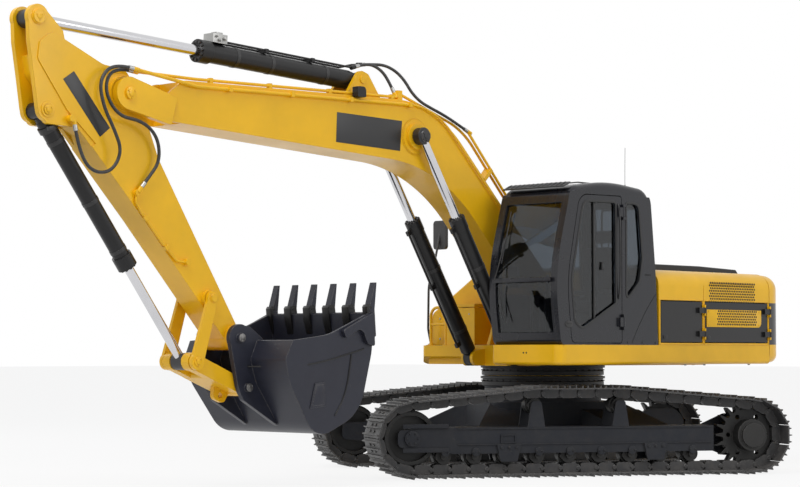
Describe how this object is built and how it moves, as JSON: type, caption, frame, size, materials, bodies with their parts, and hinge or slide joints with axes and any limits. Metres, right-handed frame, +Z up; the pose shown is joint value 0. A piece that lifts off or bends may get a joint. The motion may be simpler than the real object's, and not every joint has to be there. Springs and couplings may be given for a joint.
{
  "type": "crawler excavator",
  "caption": "Hydraulic crawler excavator with a slewing upper structure, enclosed cab, one-piece boom, arm and toothed bucket on steel crawler tracks.",
  "frame": {"origin": "on the ground under the slew axis", "axes": "+X is the way the boom and cab face, +Y towards the cab side, +Z up; the undercarriage stands turned 30.3 degrees clockwise from the upper structure, seen from above"},
  "size_m": [9.8903, 4.8958, 4.3587],
  "materials": {
    "yellow_paint": "gloss orange-yellow paint",
    "black_paint": "satin black paint",
    "track_steel": "dark worn steel",
    "rod_chrome": "polished",
    "bucket_steel": "satin near-black paint",
    "dark_glass": "tinted",
    "seat_fabric": "woven",
    "black_plastic": "textured",
    "hose_rubber": "smooth"
  },
  "bodies": {
    "undercarriage": {"car_body": "black_paint", "left_track_frame": "black_paint", "right_track_frame": "black_paint", "left_track": "track_steel", "right_track": "track_steel", "front_idlers": "black_paint", "drive_sprockets": "black_paint", "bottom_rollers": "black_paint", "carrier_rollers": "black_paint"},
    "superstructure": {"upper_frame": "yellow_paint", "counterweight": "yellow_paint", "engine_block": "black_paint", "house_panels": "yellow_paint", "fuel_tank": "yellow_paint", "tool_box": "yellow_paint", "handrail": "yellow_paint", "right_mirror": "black_plastic", "cab_floor": "black_paint", "cab_left_side": "black_paint", "cab_right_side": "black_paint", "cab_front": "black_paint", "cab_rear_wall": "black_paint", "cab_roof": "black_paint", "windscreen": "dark_glass", "cab_glass": "dark_glass", "operator_seat": "seat_fabric", "cab_controls": "black_plastic"},
    "boom": {"boom": "yellow_paint", "boom_pipes": "yellow_paint", "work_light": "black_paint", "arm_hose_front": "hose_rubber", "arm_hose_rear": "hose_rubber", "cylinder_hose_head": "hose_rubber", "cylinder_hose_rod": "hose_rubber"},
    "boom_barrels": {"boom_cylinder_barrels": "black_paint"},
    "boom_rods": {"boom_cylinder_rods": "rod_chrome"},
    "arm": {"arm": "yellow_paint", "arm_pipes": "yellow_paint"},
    "arm_barrel": {"arm_cylinder_barrel": "black_paint", "arm_cylinder_pipes": "black_paint"},
    "arm_rod": {"arm_cylinder_rod": "rod_chrome"},
    "bucket": {"bucket": "bucket_steel", "bucket_teeth": "bucket_steel"},
    "bucket_barrel": {"bucket_cylinder_barrel": "black_paint"},
    "bucket_rod": {"bucket_cylinder_rod": "rod_chrome"},
    "bucket_levers": {"bucket_levers": "yellow_paint"},
    "bucket_link": {"bucket_link": "yellow_paint"},
    "left_front_door": {"left_front_door": "yellow_paint"},
    "left_rear_door": {"left_rear_door": "yellow_paint"},
    "right_front_door": {"right_front_door": "yellow_paint"},
    "right_rear_door": {"right_rear_door": "yellow_paint"},
    "engine_hood": {"engine_hood": "black_paint"},
    "tool_box_lid": {"tool_box_lid": "yellow_paint"},
    "cab_door": {"cab_door": "black_paint", "door_glass": "dark_glass"}
  },
  "joints": [
    {"name": "slew", "type": "hinge", "parent": "undercarriage", "child": "superstructure", "pos_m": [0, 0, 1.04], "axis": [0, 0, 1], "continuous": true},
    {"name": "boom_lift", "type": "hinge", "parent": "superstructure", "child": "boom", "pos_m": [0.262, 0, 1.98], "axis": [0, -1, 0], "range_deg": [-50, 36]},
    {"name": "boom_cylinder_swing", "type": "hinge", "parent": "superstructure", "child": "boom_barrels", "pos_m": [0.821, 0, 1.236], "axis": [0, -1, 0], "range_deg": [-45.92, 33.09]},
    {"name": "boom_rod_slide", "type": "slide", "parent": "boom_barrels", "child": "boom_rods", "axis": [0.539, 0, 0.8423], "range_m": [-0.7549, 0.5438]},
    {"name": "arm_swing", "type": "hinge", "parent": "boom", "child": "arm", "pos_m": [6.033, 0, 3.64], "axis": [0, 1, 0], "range_deg": [-98, 6], "deforming": ["arm_hose_front", "arm_hose_rear"]},
    {"name": "arm_cylinder_swing", "type": "hinge", "parent": "boom", "child": "arm_barrel", "pos_m": [2.95977, 0, 4.05772], "axis": [0, -1, 0], "range_deg": [-0.85, 12.31], "deforming": ["cylinder_hose_head", "cylinder_hose_rod"]},
    {"name": "arm_rod_slide", "type": "slide", "parent": "arm_barrel", "child": "arm_rod", "axis": [0.9989, 0, 0.0472], "range_m": [-1.5812, 0.0977]},
    {"name": "bucket_curl", "type": "hinge", "parent": "arm", "child": "bucket", "pos_m": [4.685, 0, 1.433], "axis": [0, 1, 0], "range_deg": [-105, 40]},
    {"name": "lever_swing", "type": "hinge", "parent": "arm", "child": "bucket_levers", "pos_m": [5.00647, 0, 1.80392], "axis": [0, 1, 0], "range_deg": [-76.96, 29.38]},
    {"name": "link_swing", "type": "hinge", "parent": "bucket", "child": "bucket_link", "pos_m": [4.59, 0, 0.963], "axis": [0, -1, 0], "range_deg": [-74.86, 28.58]},
    {"name": "bucket_cylinder_swing", "type": "hinge", "parent": "arm", "child": "bucket_barrel", "pos_m": [6.85732, 0, 3.43181], "axis": [0, -1, 0], "range_deg": [-0.91, 2.22]},
    {"name": "bucket_rod_slide", "type": "slide", "parent": "bucket_barrel", "child": "bucket_rod", "axis": [-0.5995, 0, -0.8004], "range_m": [-0.7657, 0.2923]},
    {"name": "left_front_door_hinge", "type": "hinge", "parent": "superstructure", "child": "left_front_door", "pos_m": [-1.155, 1.377, 1.7], "axis": [0, 0, 1], "range_deg": [0, 110]},
    {"name": "left_rear_door_hinge", "type": "hinge", "parent": "superstructure", "child": "left_rear_door", "pos_m": [-2.409, 1.377, 1.7], "axis": [0, 0, 1], "range_deg": [0, 110]},
    {"name": "right_front_door_hinge", "type": "hinge", "parent": "superstructure", "child": "right_front_door", "pos_m": [-1.155, -1.377, 1.7], "axis": [0, 0, -1], "range_deg": [0, 110]},
    {"name": "right_rear_door_hinge", "type": "hinge", "parent": "superstructure", "child": "right_rear_door", "pos_m": [-2.409, -1.377, 1.7], "axis": [0, 0, -1], "range_deg": [0, 110]},
    {"name": "hood_hinge", "type": "hinge", "parent": "superstructure", "child": "engine_hood", "pos_m": [-0.44, 0, 2.223], "axis": [0, 1, 0], "range_deg": [0, 60]},
    {"name": "tool_box_lid_hinge", "type": "hinge", "parent": "superstructure", "child": "tool_box_lid", "pos_m": [0.413, -0.65, 1.811], "axis": [0, -1, 0], "range_deg": [0, 75]},
    {"name": "cab_door_hinge", "type": "hinge", "parent": "superstructure", "child": "cab_door", "pos_m": [0.29, 1.377, 2.2], "axis": [0, 0, 1], "range_deg": [0, 160]}
  ],
  "couplings": [
    {"joint": "boom_cylinder_swing", "follows": "boom_lift", "ratio": 0.9164},
    {"joint": "boom_rod_slide", "follows": "boom_lift", "m_per_rad": 0.86388},
    {"joint": "arm_cylinder_swing", "follows": "arm_swing", "ratio": -0.1246},
    {"joint": "arm_rod_slide", "follows": "arm_swing", "m_per_rad": 0.92384},
    {"joint": "lever_swing", "follows": "bucket_curl", "ratio": 0.732},
    {"joint": "link_swing", "follows": "bucket_curl", "ratio": 0.712},
    {"joint": "bucket_cylinder_swing", "follows": "bucket_curl", "ratio": -0.0202},
    {"joint": "bucket_rod_slide", "follows": "bucket_curl", "m_per_rad": 0.41728}
  ]
}
